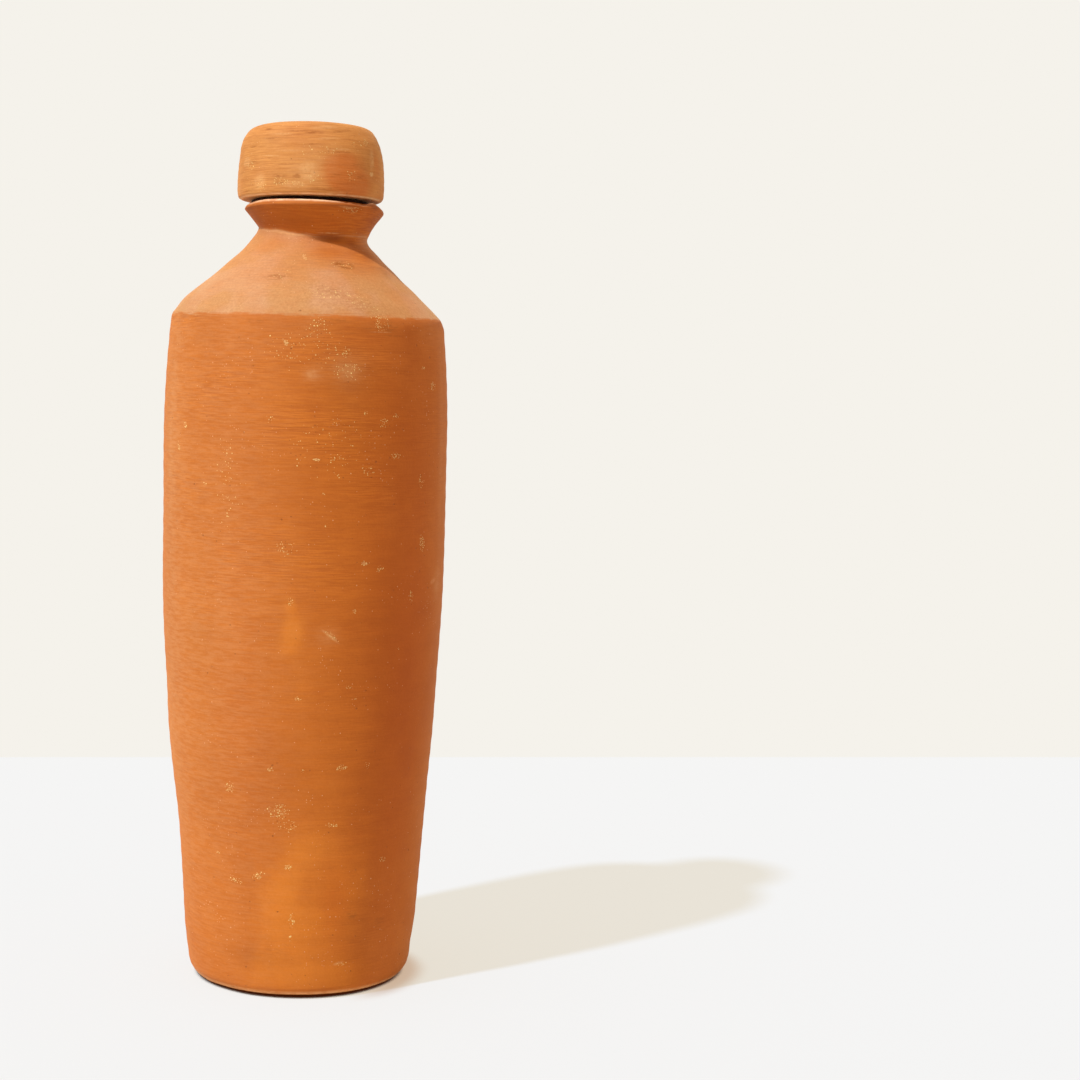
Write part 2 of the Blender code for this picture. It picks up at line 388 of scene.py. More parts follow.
def settle_bottle(form, middle):
    """Gives the upright form its lean, its foot, its crease and the marks of throwing it by hand."""
    form.normal_update()
    crease_height = SLOPE[-1][2]
    edge_radius, edge_height = SIDE[0][0], SIDE[0][2]
    for point in form.verts:
        x, y, z = point.co / MM
        radius = math.hypot(x, y)
        angle = math.atan2(y, x)
        # Near the axis only the underside is outside.
        outer = point.normal.xy.dot(Vector((x, y))) > 0 if radius > 0.5 else z < 1

        press = SPIRAL_HEIGHT * math.sin(math.tau * (z / SPIRAL_RISE + angle / math.tau))
        press *= 1 if outer else SPIRAL_INSIDE
        press += sum(height * ripple(point.co, size) for height, size in RIPPLES)

        # The foot's edge and slant, and the wire's arcs.
        if radius > FOOT_CONTACT and z < FOOT_REACH:
            here_radius, here_height, fuller = round_table(FOOT_EDGE, angle)
            out = min(1, (radius - FOOT_CONTACT) / (edge_radius - FOOT_CONTACT))
            fade = min(1, (FOOT_REACH - z) / (FOOT_REACH - edge_height))
            fuller *= fade**2 * min(1, (1 - fade) * FULLNESS_RATE)
            grown = 1 + ((here_radius - edge_radius) * fade**2 + fuller) * out / radius
            x, y = x * grown, y * grown
            z += (here_height - edge_height) * out * fade
        if outer and radius > FOOT_CONTACT and z < SLANT_REACH:
            slant = FOOT_SLANT * max(0, math.cos(angle - SLANT_ANGLE)) ** 3
            slant *= min(1, (SLANT_REACH - z) / SLANT_FADE)
            x, y = x * (1 - slant / radius), y * (1 - slant / radius)
        if z < UNDERSIDE and radius < FOOT_CONTACT:
            arc = math.hypot(x - WIRE_CENTRE[0], y - WIRE_CENTRE[1])
            wander = WIRE_WANDER * ripple(point.co, WIRE_LUMPS)
            press = -WIRE_DEPTH * (1 + math.sin(arc * WIRE_WAVES + wander))
            press *= min(1, (FOOT_CONTACT - radius) / 2)

        # The crease is sharp at the left and rounder at the right.
        off_crease = abs(z - crease_height)
        if outer and off_crease < CREASE_SPREAD:
            near = 1 - off_crease / CREASE_SPREAD
            close = max(0, 1 - off_crease / FILL_SPREAD)
            z += round_table(CREASE_RISE, angle)[0] * near**2 * (3 - 2 * near)
            press += CREASE_FILL * close**2 * max(0, 0.3 + 0.7 * math.cos(angle))

        # The lip's chips and its waver.
        if radius > CHIP_FROM[0] and z > CHIP_FROM[1]:
            chipped = max(0, math.cos(angle - CHIP_ANGLE) - CHIP_COS) / (1 - CHIP_COS)
            press -= CHIP_DEPTH * chipped * max(0, ripple(point.co, CHIP_SIZE) + 0.1)
        if radius > LIP_FLAT and z > EDGE_LOW:
            out = ramp(radius, LIP_FLAT, LIP_WIDTH)
            lip_drop, edge_drop = round_table(LIP_DROP, angle)
            lip_drop *= ramp(z, COLLAR[0][2], LIP_RISE) * out
            edge_drop *= ramp(z, EDGE_LOW, EDGE_RISE) * out
            z -= lip_drop + edge_drop

        # The ripples, the flare and the lean.
        x += point.normal.x * press
        y += point.normal.y * press
        z += point.normal.z * press
        flare = FLARE_FORWARD * ramp(z, FLARE_FROM[1], FLARE_REACH[1])
        y -= flare * ramp(radius, FLARE_FROM[0], FLARE_REACH[0])

        lean_x = NECK_AXIS.x * min(1, z / BEND_HIGH)
        lean_y = NECK_AXIS.y * ramp(z, BEND_LOW, BEND_REACH)
        if z > BEND_HIGH:
            back = RIM_MIDDLE.y - (RIM_MIDDLE.z - z) * NECK_AXIS.y
        else:
            back = NECK_AXIS.y * max(0, z - BEND_LOW) ** 2 / (2 * BEND_REACH)
        if z >= FOOT_LEVEL:
            z -= (lean_x * x + lean_y * y) * min(1, z / LEAN_RISE)
        point.co = Vector((x + point[middle] / MM, y + back, max(z, 0))) * MM


bottle_form = bmesh.new()
bottle_section(bottle_form)
bottle_middle, section = turn_round(bottle_form, TURNS)
settle_bottle(bottle_form, bottle_middle)
bottle = finished("thrown_bottle", bottle_form)


def add(tree, kind, inputs=(), **settings):
    """Adds a node to a material. An input that is a socket is linked, and any other is set."""
    made = tree.nodes.new("ShaderNode" + kind)
    for name, value in settings.items():
        setattr(made, name, value)
    for name, value in dict(inputs).items():
        if isinstance(value, bpy.types.NodeSocket):
            tree.links.new(value, made.inputs[name])
        else:
            made.inputs[name].default_value = value
    return made


def stretched(tree, where, scale):
    """The same place, scaled along each axis."""
    return add(tree, "VectorMath", {0: where, 1: scale}, operation="MULTIPLY").outputs[0]


def cloud(tree, where, scale, detail=3.0, rough=0.5):
    """Soft noise with about a scale of lumps to the metre."""
    inputs = {"Vector": where, "Scale": scale, "Detail": detail, "Roughness": rough}
    return add(tree, "TexNoise", inputs).outputs["Fac"]


def streaks(tree, round_about, across, up, detail, rough=0.5):
    """Soft noise drawn out round the pot: about so many lumps to the metre round it, and up it."""
    return cloud(tree, stretched(tree, round_about, (across, across, up)), 1, detail, rough)


def level(tree, value, low, high, to_low=0.0, to_high=1.0, kind="SMOOTHSTEP"):
    """A value from low to high, spread over to_low to to_high."""
    inputs = {"Value": value, "From Min": low, "From Max": high, "To Min": to_low, "To Max": to_high}
    return add(tree, "MapRange", inputs, interpolation_type=kind).outputs[0]


def maths(tree, operation, *values):
    """One sum on values."""
    return add(tree, "Math", dict(enumerate(values)), operation=operation).outputs[0]


def times(tree, first, second):
    """Product of two values."""
    return maths(tree, "MULTIPLY", first, second)


def blend(tree, share, first, second, kind="MIX"):
    """Mixes two colours by a share."""
    inputs = {"Factor": share, "A": first, "B": second}
    made = tree.nodes.new("ShaderNodeMix")
    made.data_type = "RGBA"
    made.blend_type = kind
    for name, value in inputs.items():
        socket = next(s for s in made.inputs if s.name == name and s.enabled)
        if isinstance(value, bpy.types.NodeSocket):
            tree.links.new(value, socket)
        else:
            socket.default_value = value if name == "Factor" else (*value, 1)
    return next(s for s in made.outputs if s.enabled)


def spots(tree, where, scale, share, size):
    """Scattered round spots, faint to strong: cells to the metre, share with a spot, its size."""
    cells = add(tree, "TexVoronoi", {"Vector": where, "Scale": scale, "Randomness": 1.0})
    pick = add(tree, "SeparateColor", {"Color": cells.outputs["Color"]}).outputs
    chosen = maths(tree, "LESS_THAN", pick[0], share)
    reach = level(tree, pick[1], 0.0, 1.0, size * 0.5, size, "LINEAR")
    inside = maths(tree, "SUBTRACT", 1.0, maths(tree, "DIVIDE", cells.outputs["Distance"], reach))
    shape = level(tree, inside, 0.0, 0.4, 0.0, level(tree, pick[2], 0.0, 1.0, 0.35, 1.3, "LINEAR"))
    return times(tree, chosen, shape)


def strongest(tree, where, marks):
    """Strongest of some marks at a point: each is an ellipsoid with a place, size, tilt, strength."""
    reached = 0.0
    for place, size, tilt, strength in marks:
        # Each mark waits for the one before it, because a shader holds only a few values at a time.
        if reached:
            wait = {0: reached, 1: (0, 0, 0), 2: where}
            where = add(tree, "VectorMath", wait, operation="MULTIPLY_ADD").outputs[0]
        local = add(tree, "Mapping", {
            "Vector": where, "Location": place, "Rotation": (0, math.radians(tilt), 0), "Scale": size,
        }, vector_type="TEXTURE").outputs[0]
        away = add(tree, "VectorMath", {0: local}, operation="LENGTH").outputs["Value"]
        reached = maths(tree, "MAXIMUM", reached, level(tree, away, 1.0, 0.35, 0.0, strength))
    return reached


def near_line(tree, along, at, half_width):
    """1 on a line at a length along the section, down to 0 at a half width in metres from it."""
    off = maths(tree, "ABSOLUTE", maths(tree, "SUBTRACT", along, at))
    return level(tree, off, half_width, 0.0)


def painted(tree, name):
    """An amount painted on the mesh."""
    return add(tree, "Attribute", attribute_name=name).outputs["Fac"]


def shaded(tree, colour, off):
    """A colour made lighter or darker by a small share. Where red clay darkens, it reddens too."""
    inputs = {0: off, 1: (0.75, 1.25, 1.7), 2: (1, 1, 1)}
    tint = add(tree, "VectorMath", inputs, operation="MULTIPLY_ADD").outputs[0]
    return blend(tree, 1.0, colour, tint, "MULTIPLY")


def blank_material(name):
    """A new material, its nodes and its shader."""
    material = bpy.data.materials.new(name)
    material.use_nodes = True
    return material, material.node_tree, material.node_tree.nodes["Principled BSDF"]


# Tones of what lies on the clay and shows in it, some also used for painted light and shade. The two
# firing tints multiply its own tone.
CHALK_AND_HIGHLIGHT = (0.88, 0.53, 0.28)
DUST_AND_LIGHT = (0.78, 0.41, 0.185)
SLIP = ((0.63, 0.345, 0.150), (0.665, 0.385, 0.215))
RUDDY_AND_SHADE_TINT = (0.93, 0.75, 0.59)
DARKER_TONE_AND_SHADE = (0.60, 0.52, 0.46)
SMEAR_AND_HIGHLIGHT = (0.84, 0.47, 0.20)
GROG = (1.0, 0.79, 0.33)
BETWEEN_GROG = (0.30, 0.075, 0.012)
PIT = (0.22, 0.055, 0.012)
STAIN = (0.38, 0.105, 0.013)
CLAY_FINISH = (
    ("Roughness", 0.75),
    ("Diffuse Roughness", 0.5),
    ("Specular IOR Level", 0.3),
    ("Sheen Weight", 0.08),
    ("Sheen Roughness", 0.3),
    ("Sheen Tint", (1.0, 0.80, 0.62, 1)),
)


def fired_clay(name, tones, flash_tone, lines, film=None, edges=(), specks=(), smears_and_highlights=(), stains=()):
    """Unglazed fired clay: firing, turning lines, grain, film of dried slip, worn edges and marks.

    The tones run from deep to pale, and lines says how strongly the turning shows. A film has a start
    and an end, and an edge a place, half width, strength and tone, in metres along the section.
    """
    material, tree, shader = blank_material(name)
    where = add(tree, "TexCoord").outputs["Object"]
    along = painted(tree, "along")
    apart = add(tree, "SeparateXYZ", {"Vector": where}).outputs
    round_about = add(tree, "CombineXYZ", {"X": apart[0], "Y": apart[1], "Z": along}).outputs[0]

    # Firing: slow changes of tone.
    firing = cloud(tree, stretched(tree, where, (1, 1, 0.7)), 21, 5.0, 0.6)
    deep, plain, pale = tones
    colour = blend(tree, level(tree, firing, 0.32, 0.5), deep, plain)
    colour = blend(tree, level(tree, firing, 0.5, 0.68), colour, pale)
    mottle = streaks(tree, round_about, 75, 150, 4.0, 0.6)
    colour = shaded(tree, colour, level(tree, mottle, 0.25, 0.75, -0.045, 0.045, "LINEAR"))

    # Turning lines: short fine streaks round the pot, clear in some bands and faint in others. They
    # are worn by handling at the right. Grit under the rib left single darker scratches.
    dashes = streaks(tree, round_about, 150, 2400, 1.0)
    fine = streaks(tree, round_about, 50, 1900, 2.0)
    broad = streaks(tree, round_about, 16, 480, 2.0)
    broad_share = 0.20 * lines - 0.13
    bands = level(tree, streaks(tree, round_about, 26, 55, 3.0), 0.38, 0.62, 0.40, 1.0)
    bands = times(tree, bands, level(tree, apart[2], 0.125, 0.160, 0.5, 1.0))
    bands = times(tree, bands, level(tree, apart[2], 0.180, 0.200, 1.0, 1.2))
    held = level(tree, apart[0], 0.016, 0.036, 1.0, 0.40)
    held = maths(tree, "MAXIMUM", held, level(tree, apart[2], 0.24, 0.25))
    bands = times(tree, bands, held)
    streak = times(tree, fine, 0.40)
    streak = maths(tree, "ADD", streak, times(tree, broad, broad_share))
    streak = maths(tree, "MULTIPLY_ADD", dashes, 0.60 - broad_share, streak)
    streak = level(tree, streak, 0.36, 0.64, -1.0, 1.0, "LINEAR")
    streak = times(tree, streak, bands)
    grit = streaks(tree, round_about, 45, 1300, 2.0, 0.45)
    scratch = times(tree, level(tree, grit, 0.63, 0.72), bands)
    dashes = times(tree, level(tree, dashes, 0.36, 0.64, -1.0, 1.0, "LINEAR"), bands)
    shade = times(tree, streak, 0.048 * lines)
    shade = maths(tree, "MULTIPLY_ADD", dashes, 0.075, shade)
    shade = maths(tree, "MULTIPLY_ADD", scratch, -0.06 * lines, shade)
    colour = shaded(tree, colour, shade)

    # Flashes: wisps of a yellower firing, torn at their edges.
    torn = cloud(tree, stretched(tree, where, (1, 1, 0.6)), 75, 6.0, 0.6)
    flash = maths(tree, "SUBTRACT", torn, 0.5)
    flash = maths(tree, "MULTIPLY_ADD", flash, 1.1, painted(tree, "flash"))
    flash = times(tree, level(tree, flash, 0.1, 0.9), 0.75)
    colour = blend(tree, flash, colour, flash_tone)

    # The film of slip, which ends in a torn edge, and dust that lies on the clay in patches, partly
    # painted light.
    if film:
        start, end = film
        ragged = maths(tree, "SUBTRACT", cloud(tree, where, 260, 4.0, 0.65), 0.5)
        place = maths(tree, "MULTIPLY_ADD", ragged, 0.0024, along)
        place = maths(tree, "MULTIPLY_ADD", streak, 0.0010, place)
        inside = level(tree, place, start - 0.0003, start + 0.0010)
        inside = times(tree, inside, level(tree, place, end + 0.0012, end - 0.0004))
        worn = cloud(tree, stretched(tree, where, (1, 1, 1.6)), 75, 5.0, 0.62)
        inside = times(tree, inside, level(tree, worn, 0.34, 0.6, 0.76, 1.0))
        inside = times(tree, inside, painted(tree, "film"))
        slip = level(tree, cloud(tree, where, 55, 2.0), 0.42, 0.58)
        colour = blend(tree, inside, colour, blend(tree, slip, *SLIP))
        mealy = level(tree, cloud(tree, where, 1200, 3.0, 0.75), 0.3, 0.7, -0.17, 0.17, "LINEAR")
        colour = shaded(tree, colour, times(tree, mealy, inside))
    laid = streaks(tree, round_about, 200, 1100, 3.0, 0.6)
    dust_and_light = painted(tree, "dust")
    dust_and_light = times(tree, dust_and_light, level(tree, laid, 0.38, 0.62, 0.5, 1.25, "LINEAR"))
    colour = blend(tree, dust_and_light, colour, DUST_AND_LIGHT)
    # Redder and deeper tones, which also carry painted shade: on the shaded right flank, under the
    # collar, in its cast shadow on the slope and along the left edge.
    colour = blend(tree, painted(tree, "ruddy_and_shade"), colour, RUDDY_AND_SHADE_TINT, "MULTIPLY")
    colour = blend(tree, painted(tree, "deep"), colour, DARKER_TONE_AND_SHADE, "MULTIPLY")

    # Edges, worn pale by handling, and partly painted highlights where light catches them.
    rubbed = level(tree, cloud(tree, where, 340, 3.0, 0.6), 0.32, 0.55, 0.45, 1.0)
    rubbed = times(tree, rubbed, maths(tree, "SUBTRACT", 1.0, painted(tree, "deep")))
    for at, half_width, strength, tone in edges:
        line = times(tree, near_line(tree, along, at, half_width), rubbed)
        colour = blend(tree, times(tree, line, strength), colour, tone)

    # Grain of the clay, meal and grog in it, and dark pits.
    grain = cloud(tree, where, 1250, 3.0, 0.65)
    colour = shaded(tree, colour, level(tree, grain, 0.3, 0.7, -0.035, 0.035, "LINEAR"))
    sparse = level(tree, cloud(tree, where, 60, 3.0), 0.50, 0.68, 0.010, 0.16)
    meal = spots(tree, where, 1500, sparse, 0.42)
    pits = spots(tree, where, 640, 0.05, 0.30)
    colour = blend(tree, times(tree, meal, 0.5), colour, CHALK_AND_HIGHLIGHT)
    colour = blend(tree, times(tree, pits, 0.35), colour, PIT)

    # Single marks: scattered specks of grog, pale smears, some of them painted highlights along the
    # crease, and stains of fine dark dots.
    bright = 0.0
    if specks:
        thick = strongest(tree, where, specks)
        bright = spots(tree, where, 1800, thick, 0.50)
        bright = maths(tree, "MAXIMUM", bright, spots(tree, where, 2700, thick, 0.52))
        between = spots(tree, where, 2200, times(tree, thick, 0.7), 0.50)
        colour = blend(tree, times(tree, between, 0.6), colour, BETWEEN_GROG)
        colour = blend(tree, times(tree, bright, 0.95), colour, GROG)
    if smears_and_highlights:
        spread = times(tree, strongest(tree, where, smears_and_highlights),
                       level(tree, cloud(tree, where, 700, 4.0, 0.7), 0.35, 0.62, 0.3, 1.0))
        colour = blend(tree, spread, colour, SMEAR_AND_HIGHLIGHT)
    if stains:
        crazed = cloud(tree, stretched(tree, where, (0.7, 0.7, 3.0)), 520, 4.0, 0.7)
        crazed = level(tree, crazed, 0.42, 0.6)
        dark = times(tree, strongest(tree, where, stains), crazed)
        colour = blend(tree, dark, colour, STAIN)

    height = times(tree, grain, 0.30)
    for value, much in ((streak, 0.12 * lines), (scratch, -0.20 * lines),
                        (pits, -0.7), (meal, 0.2), (bright, 0.3)):
        height = maths(tree, "MULTIPLY_ADD", value, much, height)
    relief = add(tree, "Bump", {"Height": height, "Strength": 1.0, "Distance": 0.00016}).outputs[0]
    tree.links.new(relief, shader.inputs["Normal"])
    tree.links.new(colour, shader.inputs["Base Color"])
    for socket, value in CLAY_FINISH:
        shader.inputs[socket].default_value = value
    return material


def outline_at(outline, height):
    """Radius and middle line of an outline at a height, in mm."""
    pairs = zip(outline, outline[1:])
    low, high = next((pair for pair in pairs if height <= pair[1][2]), outline[-2:])
    share = (height - low[2]) / max(high[2] - low[2], 0.001)
    return [start + (end - start) * share for start, end in zip(low[:2], high[:2])]


def front_of(across, height):
    """Place on the front of the bottle, from its place across and its height in mm."""
    radius, middle = outline_at(SIDE + SLOPE[1:] + COLLAR, height)
    return Vector((across, -math.sqrt(max(radius**2 - (across - middle) ** 2, 0)), height)) * MM


def laid_on(front, rows):
    """Rows of a place across, a height and more, with the first two as a place on a front."""
    return [(front(across, height), *more) for across, height, *more in rows]


def soft_spots(point, spots_here):
    """Amount of some soft spots at a point: each has a place, half width, half height and amount."""
    total = 0.0
    for place, wide, tall, much in spots_here:
        up = (point.z - place.z) / MM / tall
        if abs(up) < 2.4:
            aside = ((point.x - place.x) ** 2 + (point.y - place.y) ** 2) / (MM * wide) ** 2
            total += much * math.exp(-aside - up * up)
    return total


def paint(piece, name, amount):
    """Stores an amount at each point of a mesh."""
    layer = piece.data.attributes.new(name, "FLOAT", "POINT")
    layer.data.foreach_set("value", [amount(vertex.co) for vertex in piece.data.vertices])


# Dusty patches, partly painted light on the lit left flank, and yellower flashes of firing: place
# across, height, half width, half height, amount.
DUSTY_AND_LIT = (
    (4, 213.5, 2.8, 2.6, 0.34),
    (15.5, 214.8, 5.4, 4.6, 0.34),
    (-44, 195, 4.5, 30, 0.12),
    (47, 141, 3.5, 5, 0.26),
    (48.5, 190, 2.5, 40, 0.14),
    (9, 126.5, 4, 3, 0.18),
    (28, 231, 12, 2.5, 0.1),
    (34, 237.5, 7, 5, 0.26),
    (44, 228, 7, 5, 0.1),
    (-45, 130, 12, 150, 0.2),
    (-9, 261.6, 3, 1.2, 0.22),
    (-3.6, 260.2, 3, 1, 0.4),
    (5, 229, 6, 3, 0.1),
    (-32, 130, 30, 150, 0.2),
    (-48.5, 130, 5, 160, 0.08),
    (-22, 120, 16, 120, 0.06),
    (-15, 226, 32, 8, 0.05),
)
FLASHES = (
    (-2.8, 128.5, 3.4, 5.5, 0.9),
    (-3.5, 137, 2.4, 3, 0.62),
    (-4.5, 122, 5, 5, 0.35),
    (-7, 41, 8, 12, 0.6),
    (3, 53, 8, 8, 0.5),
    (-7, 24, 12, 16, 0.5),
    (-12, 9, 14, 8, 0.45),
    (17, 38, 10, 22, 0.62),
    (2, 27, 14, 7, 0.3),
    (3, 126, 9, 8, 0.14),
    (1, 108, 5, 10, 0.35),
    (14, 8, 16, 7, 0.4),
    (0, 76, 16, 12, 0.16),
)
# Where the clay fired redder, with painted shade on the shaded right flank and at the left edge.
RUDDY_AND_SHADED = (
    (36, 120, 20, 150, 1),
    (17, 226, 14, 7, 0.35),
    (12, 33, 5, 15, 0.45),
    (-20, 95, 12, 70, 0.28),
    (-44, 150, 10, 160, 0.1),
)
# Where it is deeper in tone, mostly painted shade: under the collar, in the collar's cast shadow on
# the slope, at the shoulder's edge, at the collar's right and lip, on the upper right and along the
# left edge.
DEEPER_AND_SHADED = (
    (-15.5, 266.5, 9, 5.5, 0.8),
    (-3, 264.5, 9, 3.5, 0.45),
    (16, 266, 8, 4, 0.15),
    (7, 259.6, 3, 0.9, 0.75),
    (12, 259.2, 4.5, 1.5, 1.1),
    (18.5, 257.2, 3.5, 2.2, 0.7),
    (23.5, 253.5, 3.5, 2.8, 0.5),
    (29, 248, 3, 3, 0.35),
    (8, 229.5, 20, 2.2, 0.14),
    (22, 229, 8, 3.5, 0.18),
    (36, 229, 8, 3.5, 0.06),
    (-33, 228, 9, 7, 0.12),
    (-45, 150, 10, 160, 0.2),
    (-48.5, 130, 5, 150, 0.08),
    (-35, 120, 10, 130, 0.1),
    (-35, 125, 9, 7, 0.12),
    (17, 203, 9, 14, 0.14),
    (18, 212, 12, 9, 0.16),
    (-18, 15, 9, 5, 0.24),
    (-19, 42, 5, 14, 0.12),
    (-28, 242, 10, 10, 0.07),
    (-38, 233.2, 16, 1.2, 0.22),
    (-39, 236.5, 9, 3, 0.16),
    (2, 232.9, 26, 0.9, 0.16),
    (17, 270.9, 7, 1.5, 0.6),
    (24.5, 270.2, 4, 1.6, 0.6),
    (7, 256.6, 3.5, 2.2, 0.2),
    (12, 252.5, 5, 3, 0.12),
    (0, 270.6, 26, 1, 0.22),
    (-18, 270, 8, 1.6, 0.15),
    (18, 270, 8, 1.6, 0.12),
    (0, 269.3, 27, 1.4, 0.2),
    (26, 266.5, 7, 5, 0.5),
    (16, 218, 16, 10, 0.1),
    (18, 26, 6, 8, 0.14),
    (-10, 13, 8, 2.5, 0.14),
)
# Where the film on the slope is thin, mostly in the collar's cast shadow, where the thinning is
# painted shade.
BARED_IN_SHADE = (
    (9, 254, 8, 4, 0.4),
    (22, 253, 9, 6, 0.44),
    (18, 248, 9, 3.5, 0.14),
    (15, 259.4, 10, 2.4, 0.6),
    (-9, 258, 7, 4, 0.12),
)
bared_in_shade = laid_on(front_of, BARED_IN_SHADE)
FILM_TOP = 0.262
FILM_TALL = 0.028


def film_strength(point):
    """How thick the slip dried on the slope: thick above the shoulder, thin by the neck, thinned as
    painted shade in the collar's shadow.
    """
    low = min(1, max(0, (FILM_TOP - point.z) / FILM_TALL))
    return 0.52 + 0.26 * low + 0.10 * ripple(point, 20) - soft_spots(point, bared_in_shade)


def paint_spots(piece, name, front, rows):
    """Paints soft spots on the front of a piece."""
    spots_here = laid_on(front, rows)
    paint(piece, name, lambda point: soft_spots(point, spots_here))


# The body's dust layer also carries painted light on the lit left flank; its ruddy and deep layers
# carry painted shade.
for layer_name, rows in (("dust", DUSTY_AND_LIT), ("flash", FLASHES), ("ruddy_and_shade", RUDDY_AND_SHADED), ("deep", DEEPER_AND_SHADED)):
    paint_spots(bottle, layer_name, front_of, rows)
paint(bottle, "film", film_strength)

# Single marks on the front: place across, height, half length, half height, tilt, amount.
SPECKS = (
    (21.4, 150.5, 2, 1, 10, 1),
    (26.4, 148.4, 1.4, 1.6, 60, 0.79),
    (18, 134.6, 1, 1, 60, 1),
    (33.2, 120.6, 0.6, 0.5, 0, 1),
    (7.7, 173.9, 0.6, 0.6, 0, 1),
    (8.2, 163.3, 0.5, 0.5, 0, 1),
    (1.4, 252.4, 1.6, 0.8, 70, 0.8),
    (-4.9, 223.8, 1.8, 1, 50, 0.94),
    (5.3, 185.3, 2.1, 0.7, 0, 0.94),
    (12, 185.8, 5.2, 1.1, 0, 0.34),
    (32, 186, 2.1, 1.7, 0, 0.64),
    (23, 182, 2.3, 3.4, 80, 0.28),
    (40.8, 177, 1.4, 3, 0, 0.49),
    (-5, 156, 4.6, 3.4, 0, 0.22),
    (41.3, 155.9, 1.6, 3.4, 0, 0.56),
    (21.5, 200.5, 1.4, 1.1, 0, 0.72),
    (32, 199.4, 1.4, 1, 20, 0.79),
    (-9.8, 198.5, 2.1, 1.7, 0, 0.34),
    (15.5, 214.5, 5.8, 4.6, 0, 0.24),
    (10, 240, 10.3, 6.9, 0, 0.15),
    (18, 238, 14, 7, 0, 0.16),
    (14.5, 249.8, 6, 2.2, 0, 0.22),
    (-6, 246, 5.8, 3.4, 0, 0.14),
    (27, 230.5, 5.8, 4, 0, 0.26),
    (6, 228, 5.8, 5.8, 0, 0.14),
    (15.3, 220.5, 2.1, 2.1, 0, 0.56),
    (41.5, 215, 1.1, 0.9, 0, 0.79),
    (45, 209, 1.7, 1.7, 0, 0.49),
    (28, 197, 2.9, 1.7, 0, 0.41),
    (-4.3, 47, 1.8, 1.3, 0, 1),
    (-14.4, 43.4, 2.8, 1.4, -25, 1),
    (-22, 41, 3.4, 1.7, 0, 0.34),
    (28.1, 47.5, 1.8, 1.1, 30, 0.56),
    (-7.6, 66.4, 4.4, 4, 0, 0.42),
    (-4.5, 61.5, 5.2, 3, 0, 0.24),
    (10.5, 61.5, 2.8, 1.1, 0, 0.49),
    (-10, 81, 1.6, 1, 0, 0.79),
    (0.5, 80.5, 1.1, 1, 0, 0.79),
    (13.7, 81.5, 2.8, 1.3, 0, 0.94),
    (22.5, 81.5, 1.1, 1.6, 0, 0.64),
    (-24, 73.5, 2.1, 2.5, 0, 0.46),
    (-3, 28, 1.4, 3.7, 0, 0.45),
    (-3.5, 22, 0.9, 1.6, 0, 1),
    (14, 12, 2.8, 1.4, 0, 0.41),
    (16.2, 109, 1.4, 0.9, 0, 0.79),
    (18, 105, 1.6, 0.9, 0, 0.79),
    (-1, 105.4, 1.8, 0.9, 0, 0.72),
    (37.5, 138, 0.9, 2.8, 0, 0.49),
    (10.5, 126.5, 4.4, 0.9, 38, 0.56),
    (-3.3, 138, 1.4, 1.6, 0, 0.64),
    (-28.1, 49.8, 1.1, 0.8, 0, 0.79),
    (-32.1, 176.6, 0.9, 0.8, 0, 1),
    (-39, 195.9, 1.8, 0.8, 80, 0.94),
    (-41.5, 188.9, 2.6, 0.5, 75, 0.94),
    (-24, 178, 14, 22, 0, 0.05),
    (12, 190, 20, 16, 0, 0.04),
    (2, 222, 22, 8, 0, 0.06),
    (17, 268.6, 6.5, 1.3, 0, 0.55),
)
SMEARS_AND_HIGHLIGHTS = (
    (10, 126.3, 4.8, 0.7, 40, 0.5),
    (16, 214.8, 4.2, 2.8, 0, 0.16),
    (3.6, 213.4, 2.4, 2.2, 0, 0.2),
    (45.5, 142, 2.4, 1, -30, 0.3),
    (5.3, 185.3, 1.5, 0.6, 0, 0.55),
    (1.2, 252.6, 1.4, 0.35, 80, 0.9),
    (-4.9, 223.8, 1.2, 0.5, 52, 0.8),
    (21.4, 150.5, 1.3, 0.55, 10, 0.7),
    (12.8, 12.5, 2.6, 0.8, -12, 0.3),
    (-7, 66.5, 3.4, 2.6, 0, 0.08),
    # This row and the one at -5.5 across are painted highlights along the crease.
    (10.5, 260.9, 6.5, 0.35, 2, 0.45),
    (15.5, 269.4, 5, 0.6, 8, 0.4),
    (-5.5, 261, 11, 0.45, 8.7, 0.5),
    (27, 227.2, 8, 0.3, 1, 0.35),
)
STAINS = (
    (14.5, 249.8, 6.5, 2.4, 0, 0.9),
    (12.6, 250.6, 2.2, 1.2, 0, 0.5),
    (-7, 245.5, 6.5, 2, 0, 0.62),
    (9, 240.5, 9, 4, 0, 0.34),
    (19, 236.5, 12, 6, 0, 0.22),
    (-17.3, 254.3, 2.4, 0.5, -38, 0.85),
    (17.5, 29.2, 2.4, 1.9, 0, 0.45),
    (-9.5, 17, 5, 1.8, 0, 0.22),
    (27, 25, 3.5, 3, 0, 0.22),
    (30, 229, 7, 2.8, 0, 0.5),
    (12, 230.9, 15, 1.2, 0, 0.45),
    (-14, 230.9, 13, 1, 0, 0.32),
    (24, 228.2, 9, 0.45, 1, 0.45),
    (31, 226, 7, 0.4, 2, 0.45),
    (15, 226.8, 7, 0.35, -1, 0.3),
)
MARK_DEPTH = 3.5         # half of its reach into and out of the clay


def placed(front, rows):
    """Marks for a material, from rows of marks and the surface that they lie on."""
    return [(place, Vector((length, MARK_DEPTH, width)) * MM, tilt, amount)
            for place, length, width, tilt, amount in laid_on(front, rows)]


